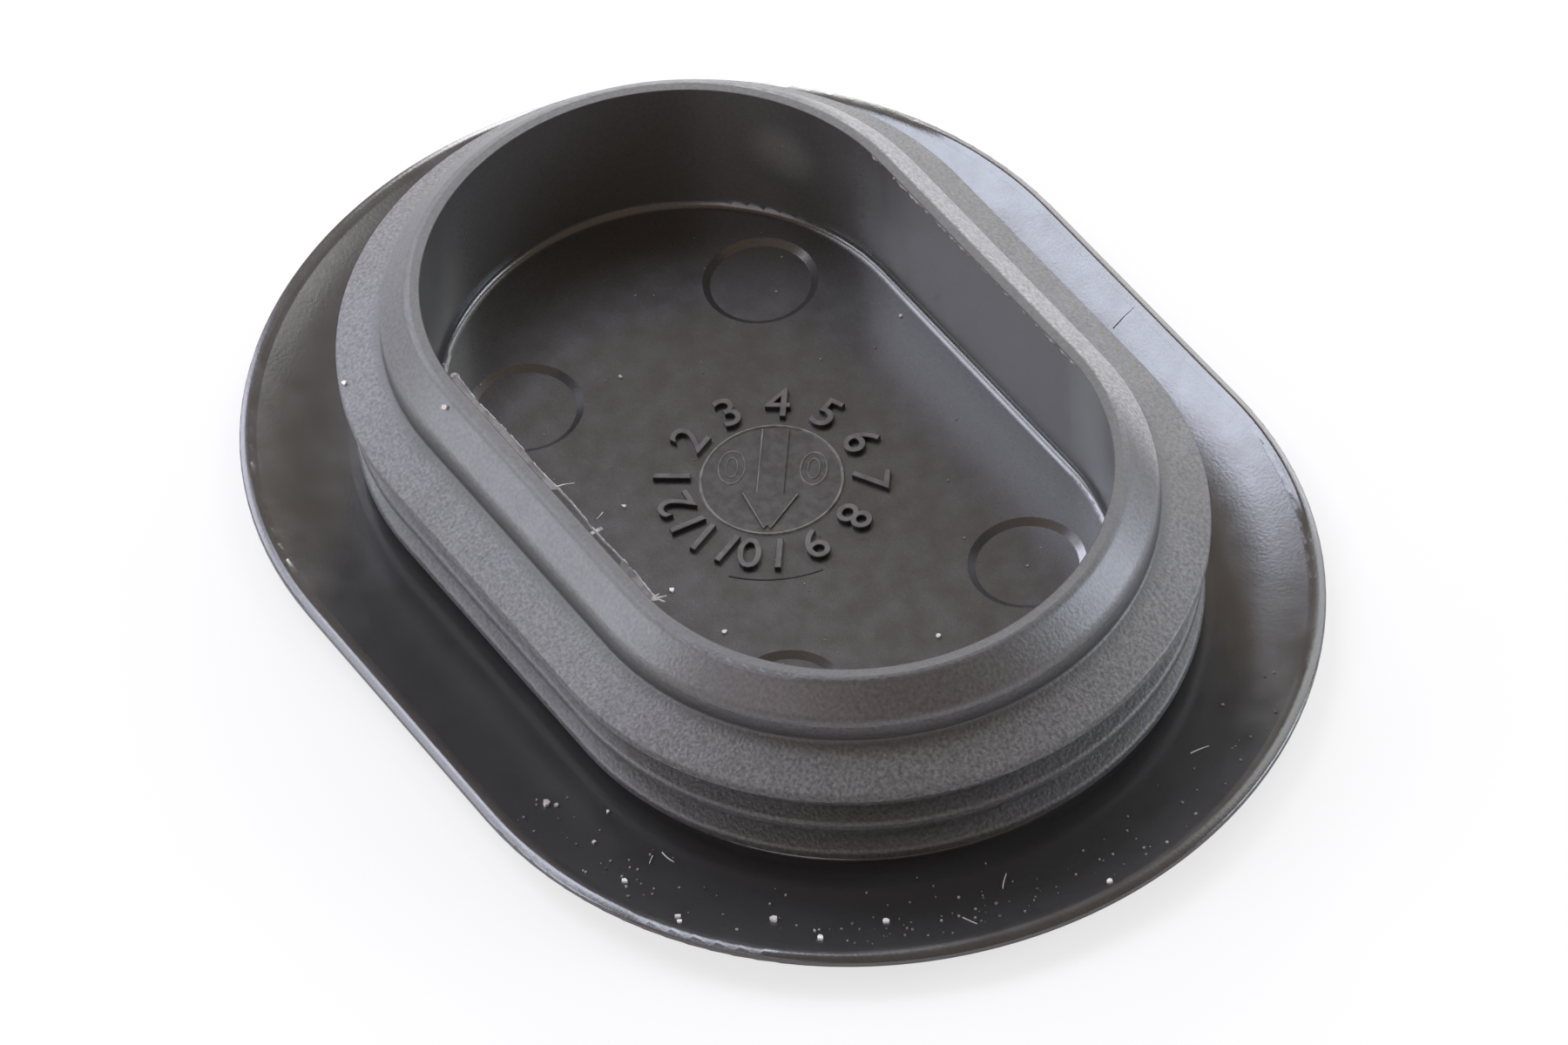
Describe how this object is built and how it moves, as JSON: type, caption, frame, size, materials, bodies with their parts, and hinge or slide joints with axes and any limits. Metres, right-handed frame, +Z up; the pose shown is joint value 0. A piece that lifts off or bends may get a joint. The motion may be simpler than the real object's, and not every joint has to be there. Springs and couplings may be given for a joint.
{
  "type": "blanking plug",
  "caption": "Oblong push-in blanking plug: a thin dished flange, a ribbed spigot that grips the edge of a panel hole, and an open cavity with date dial and ejector marks inside.",
  "frame": {"origin": "middle of the flat underside of the flange, under the centre of the oblong", "axes": "+X along the long axis of the oblong, +Y across it, +Z up the spigot, out of the open cavity"},
  "size_m": [0.0562, 0.0412, 0.0106],
  "materials": {
    "plug_rubber": "satin, black; spigot finely spark-eroded"
  },
  "bodies": {
    "root": {"plug_body": "plug_rubber"}
  },
  "joints": []
}
